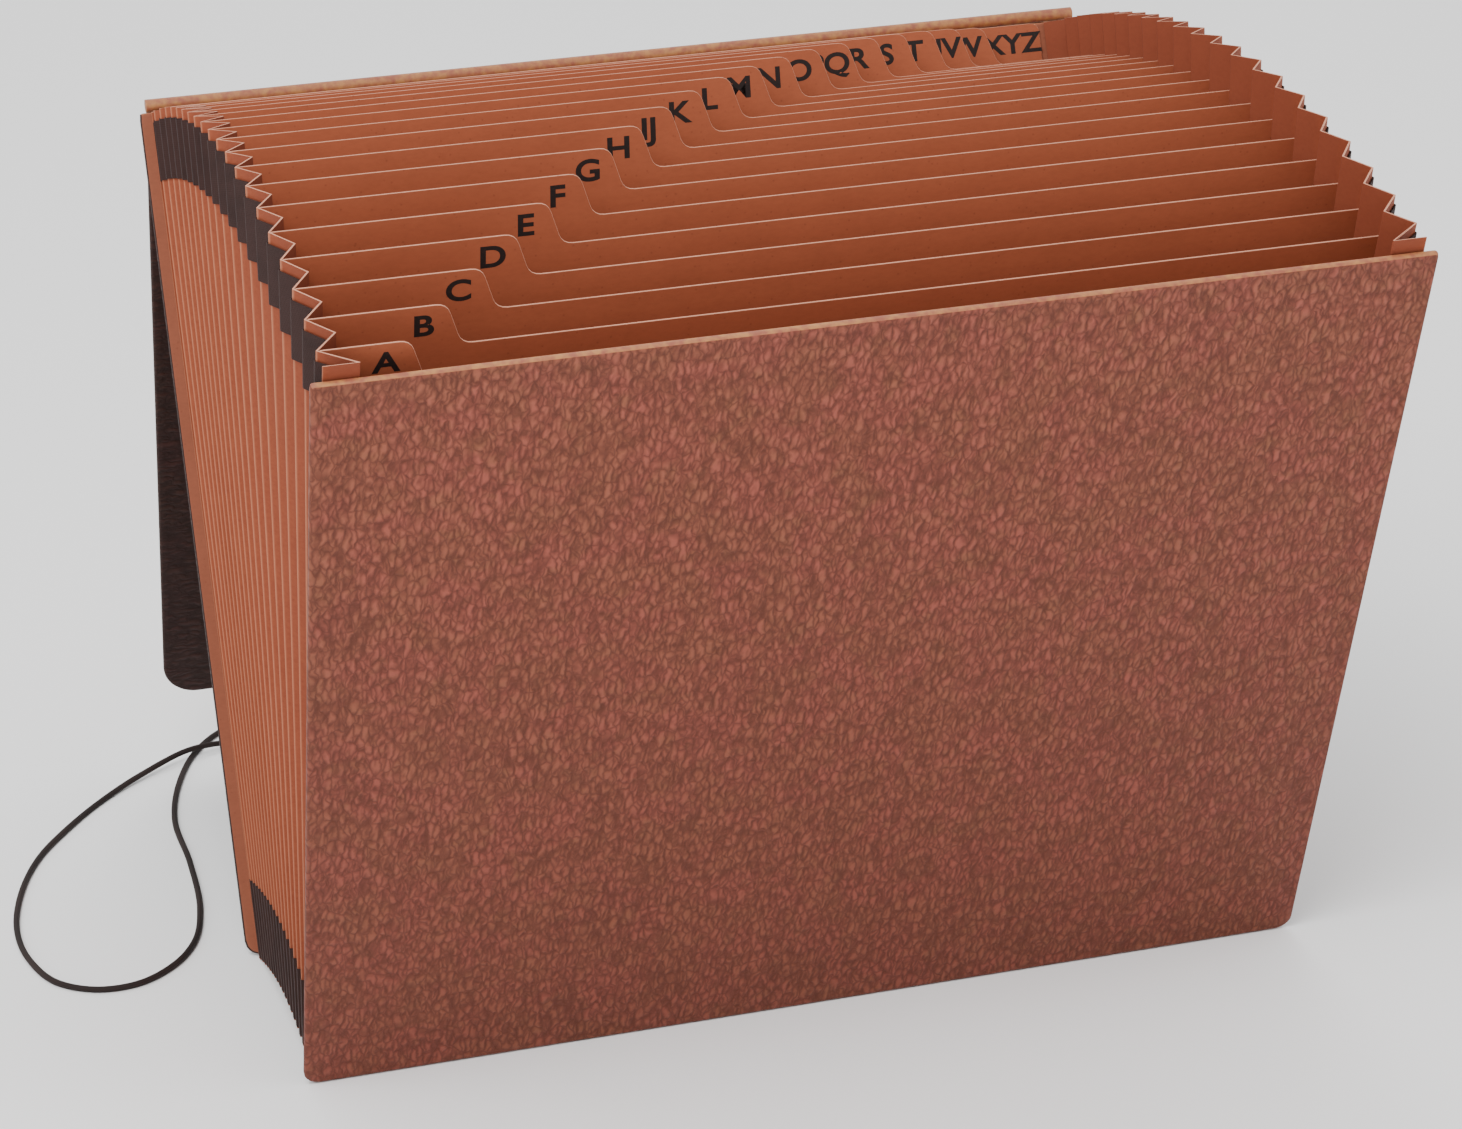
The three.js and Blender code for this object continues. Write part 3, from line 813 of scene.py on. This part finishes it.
class ACCORDION_OT_elastic(bpy.types.Operator):
    """Adds the braided elastic loop that closes the file"""

    bl_idname = "accordion_file.add_elastic"
    bl_label = "Elastic"

    def execute(self, context):
        clear_selection()
        path, length = catmull_rom(elastic_route(), CORD_STEPS)
        bpy.ops.mesh.primitive_cylinder_add(vertices=CORD_SIDES, radius=CORD_RADIUS, depth=1,
                                            end_fill_type="NGON")
        cord = context.object
        cord.name = "elastic_loop"
        cord.data.name = "elastic_loop"
        shape = bmesh.new()
        relief = shape.verts.layers.float.new("relief")
        braid = shape.loops.layers.uv.new("braid")
        side = (path[1] - path[0]).orthogonal().normalized()
        rings, turns = [], max(1, round(length / sizes().braid_pitch))
        for i, point in enumerate(path):
            ahead = (path[min(i + 1, len(path) - 1)] - path[max(i - 1, 0)]).normalized()
            side = (side - ahead * side.dot(ahead)).normalized()
            other = ahead.cross(side)
            ring = []
            for j in range(CORD_SIDES):
                angle = 2 * math.pi * j / CORD_SIDES
                raised = (math.cos(STRANDS * angle + 2 * math.pi * i * turns / CORD_STEPS)
                          * math.cos(STRANDS * angle - 2 * math.pi * i * turns / CORD_STEPS))
                height = 0.5 + 0.5 * raised
                radius = CORD_RADIUS * (1 - BRAID_RELIEF + BRAID_RELIEF * height)
                vertex = shape.verts.new(
                    point + (side * math.cos(angle) + other * math.sin(angle)) * radius)
                vertex[relief] = height
                ring.append(vertex)
            rings.append(ring)
        for i in range(len(rings) - 1):
            for j in range(CORD_SIDES):
                k = (j + 1) % CORD_SIDES
                face = shape.faces.new((rings[i][j], rings[i][k], rings[i + 1][k],
                                        rings[i + 1][j]))
                face.smooth = True
                corners = ((i, j), (i, j + 1), (i + 1, j + 1), (i + 1, j))
                for loop, (along, around) in zip(face.loops, corners):
                    loop[braid].uv = (along * turns / CORD_STEPS, around * STRANDS / CORD_SIDES)
        shape.faces.new(list(reversed(rings[0])))
        shape.faces.new(rings[-1])
        shape.to_mesh(cord.data)
        shape.free()
        cord.data.materials.clear()
        cord.data.materials.append(braided_elastic())
        settle(cord, "file", ["elastic_cord"])
        return {"FINISHED"}


class ACCORDION_OT_boards(bpy.types.Operator):
    """Adds the two covered boards and finishes the lining of the front one"""

    bl_idname = "accordion_file.add_boards"
    bl_label = "Boards"

    def execute(self, context):
        outside = BOARD_OFFSET + BOARD_THICKNESS
        radii = (BOARD_CORNER, BOARD_TOP_CORNER)
        grain = (sizes().grain_width, sizes().grain_length)
        front = leather_board("front_cover", BOARD_WIDTH, BOARD_LIFT, FRONT_HEIGHT, BOARD_OFFSET,
                              outside, radii, FRONT_CELL, grain)
        finish_board(front, fan_matrix(0), embossed_leather())
        settle(front, "file", ["front_panel"])
        back = leather_board("back_cover", BOARD_WIDTH, BOARD_LIFT, BACK_HEIGHT, BOARD_OFFSET,
                             outside, radii, BACK_CELL, grain)
        for side in (-1, 1):
            self.pierce(back, side * EYELET_SPACING / 2)
        # The back board's cover takes the leather with painted shade.
        finish_board(back, fan_matrix(1) @ Matrix.Rotation(math.pi, 4, "Y"), shaded_leather())
        settle(back, "file", ["back_panel"])
        lining = copy_of("front_lining", "front_board_lining")
        soften(lining, SHEET_BREAK, 1)
        give_cut_edges(lining, fan_matrix(0).to_3x3() @ Vector((0, 0, 1)), lining_paper(),
                       card_edge())
        smooth(lining, 25)
        settle(lining, "file", ["front_lining"])
        return {"FINISHED"}

    def pierce(self, board, x):
        clear_selection()
        bpy.ops.mesh.primitive_cylinder_add(vertices=32, radius=EYELET_HOLE, depth=12 * MM,
                                            location=(x, EYELET_HEIGHT, BOARD_OFFSET))
        punch = bpy.context.object
        apply_modifier(board, "BOOLEAN", operation="DIFFERENCE", object=punch, solver="EXACT")
        bpy.data.objects.remove(punch)


class ACCORDION_OT_eyelets(bpy.types.Operator):
    """Adds the two pressed eyelets that hold the elastic"""

    bl_idname = "accordion_file.add_eyelets"
    bl_label = "Eyelets"

    def execute(self, context):
        for side in ("left", "right"):
            name = f"eyelet_{side}"
            piece = copy_of(name, f"pressed_{name}")
            soften(piece, EYELET_BREAK, 3)
            piece.data.materials.append(pressed_brass())
            smooth(piece, 60)
            settle(piece, "file", [name])
        return {"FINISHED"}


class ACCORDION_OT_gussets(bpy.types.Operator):
    """Adds the pleated gussets at both sides and along the bottom"""

    bl_idname = "accordion_file.add_gussets"
    bl_label = "Gussets"

    def execute(self, context):
        for side in ("left", "right", "bottom"):
            piece = copy_of(f"gusset_{side}", f"pleated_gusset_{side}")
            soften(piece, PLEAT_BREAK, 1)
            piece.data.materials.append(card_face() if side == "bottom" else folded_card())
            piece.data.materials.append(card_edge())
            if side != "bottom":
                for polygon in piece.data.polygons:
                    if polygon.normal.z > 0.6:
                        polygon.material_index = 1
            smooth(piece, 30)
            settle(piece, "file", [f"gusset_{side}"])
        return {"FINISHED"}


class ACCORDION_OT_tapes(bpy.types.Operator):
    """Adds the cloth tapes along the top and the base of the side gussets"""

    bl_idname = "accordion_file.add_tapes"
    bl_label = "Tapes"

    def execute(self, context):
        for side in ("left", "right"):
            for end in ("top", "base"):
                name = f"tape_{side}_{end}"
                piece = copy_of(name, f"cloth_{name}")
                soften(piece, TAPE_BREAK, 1)
                lay_cloth_map(piece)
                piece.data.materials.append(woven_tape())
                smooth(piece, 30)
                settle(piece, "file", [name])
        return {"FINISHED"}


class ACCORDION_OT_dividers(bpy.types.Operator):
    """Adds the twenty tabbed dividers and the last index sheet"""

    bl_idname = "accordion_file.add_dividers"
    bl_label = "Dividers"

    def execute(self, context):
        for k, word in enumerate(INDEX):
            sheet_piece(f"divider_{word.lower()}", f"index_sheet_{word.lower()}", outer_share(k),
                        card_face(), card_edge())
        sheet_piece("index_xyz", "index_sheet_xyz", 1, card_face(), card_edge())
        return {"FINISHED"}


class ACCORDION_OT_letters(bpy.types.Operator):
    """Prints plain index letters near the right end of each tab"""

    bl_idname = "accordion_file.add_letters"
    bl_label = "Letters"

    def execute(self, context):
        measure = self.word("H", 1)
        cap = max(v.co.y for v in measure.data.vertices)
        bpy.data.objects.remove(measure)
        scale = sizes().letter_height / cap
        for k, word in enumerate([*INDEX, LAST_WORD]):
            last = k == len(INDEX)
            node_name = "index_xyz" if last else f"divider_{word.lower()}"
            share = 1 if last else outer_share(k)
            place = fan_matrix(share)
            points = [place.inverted() @ v.co for v in NODES[node_name].data.vertices]
            face = max(p.z for p in points)
            middle = LAST_WORD_X if last else TAB_FIRST_END + k * TAB_PITCH - LETTER_INSET
            letter = self.word(word, scale)
            letter.name = f"print_{word.lower()}"
            letter.data.name = letter.name
            base = SHEET_HEIGHT - LETTER_TOP - sizes().letter_height
            letter.data.transform(place @ Matrix.Translation((middle, base, face + PRINT_GAP)))
            letter.data.materials.append(printing_ink())
            settle(letter, "file")
        return {"FINISHED"}

    def word(self, text, scale):
        clear_selection()
        bpy.ops.object.text_add(location=(0, 0, 0))
        letter = bpy.context.object
        letter.data.body = text
        letter.data.size = 1
        letter.data.align_x = "CENTER"
        letter.data.offset = LETTER_BOLD
        letter.data.extrude = sizes().ink_thickness / 2 / scale if scale != 1 else 0
        letter.data.resolution_u = 6
        bpy.ops.object.convert(target="MESH")
        letter = bpy.context.object
        widen = scale * LETTER_STRETCH if scale != 1 else 1
        letter.data.transform(Matrix.Diagonal((widen, scale, scale, 1)))
        letter.data.materials.clear()
        if scale != 1:
            select_only(letter)
            bpy.ops.object.mode_set(mode="EDIT")
            bpy.ops.mesh.select_all(action="SELECT")
            bpy.ops.mesh.remove_doubles(threshold=1e-7)
            bpy.ops.mesh.normals_make_consistent(inside=False)
            bpy.ops.object.mode_set(mode="OBJECT")
        return letter


class ACCORDION_OT_flap(bpy.types.Operator):
    """Adds the covered flap, its lining and the fold that it turns on"""

    bl_idname = "accordion_file.add_flap"
    bl_label = "Flap"

    def execute(self, context):
        place = flap_matrix()
        half = FLAP_THICKNESS / 2
        # The flap's cover is cut across the hide, so its creases run from side to side.
        grain = (sizes().grain_length, sizes().grain_width)
        flap = leather_board("flap_cover", FLAP_WIDTH, -FLAP_LENGTH, -FLAP_START, -half, half,
                             (FLAP_CORNER, BOARD_TOP_CORNER), FLAP_CELL, grain)
        # The flap's cover takes the leather with painted shade.
        finish_board(flap, place, shaded_leather(), lined=False)
        settle(flap, "flap", ["flap"])
        lining = copy_of("flap_lining", "flap_paper_lining")
        soften(lining, SHEET_BREAK, 1)
        give_cut_edges(lining, place.to_3x3() @ Vector((0, 0, 1)), lining_paper(), card_edge())
        smooth(lining, 25)
        settle(lining, "flap", ["flap_lining"])
        spine = copy_of("flap_spine", "rolled_flap_fold")
        spine.data.materials.append(rubbed_leather())
        smooth(spine, 50)
        settle(spine, "file", ["flap_spine"])
        return {"FINISHED"}


class ACCORDION_PT_panel(bpy.types.Panel):
    """Lists the pieces of the file and their sizes and colours"""

    bl_idname = "ACCORDION_PT_panel"
    bl_label = "Accordion file"
    bl_space_type = "VIEW_3D"
    bl_region_type = "UI"
    bl_category = "Accordion file"

    def draw(self, context):
        for group in (context.scene.accordion_file_sizes, context.scene.accordion_file_colours):
            box = self.layout.box()
            for name in group.bl_rna.properties.keys():
                if name not in ("rna_type", "name"):
                    box.prop(group, name)
        for operator in OPERATORS:
            self.layout.operator(operator.bl_idname)


OPERATORS = (
    ACCORDION_OT_stage, ACCORDION_OT_elastic, ACCORDION_OT_boards, ACCORDION_OT_eyelets,
    ACCORDION_OT_gussets, ACCORDION_OT_tapes, ACCORDION_OT_dividers, ACCORDION_OT_letters,
    ACCORDION_OT_flap,
)
CLASSES = (FileSizes, FileColours, *OPERATORS, ACCORDION_PT_panel)


def register():
    """Registers the classes and the groups of sizes and colours."""
    for cls in CLASSES:
        bpy.utils.register_class(cls)
    bpy.types.Scene.accordion_file_sizes = PointerProperty(type=FileSizes)
    bpy.types.Scene.accordion_file_colours = PointerProperty(type=FileColours)


def unregister():
    """Takes them away again."""
    del bpy.types.Scene.accordion_file_colours
    del bpy.types.Scene.accordion_file_sizes
    for cls in reversed(CLASSES):
        bpy.utils.unregister_class(cls)


def main():
    """Makes the whole file."""
    register()
    bpy.ops.accordion_file.add_stage()
    bpy.ops.accordion_file.add_elastic()
    bpy.ops.accordion_file.add_boards()
    bpy.ops.accordion_file.add_eyelets()
    bpy.ops.accordion_file.add_gussets()
    bpy.ops.accordion_file.add_tapes()
    bpy.ops.accordion_file.add_dividers()
    bpy.ops.accordion_file.add_letters()
    bpy.ops.accordion_file.add_flap()
    clear_selection()


if __name__ == "__main__":
    main()
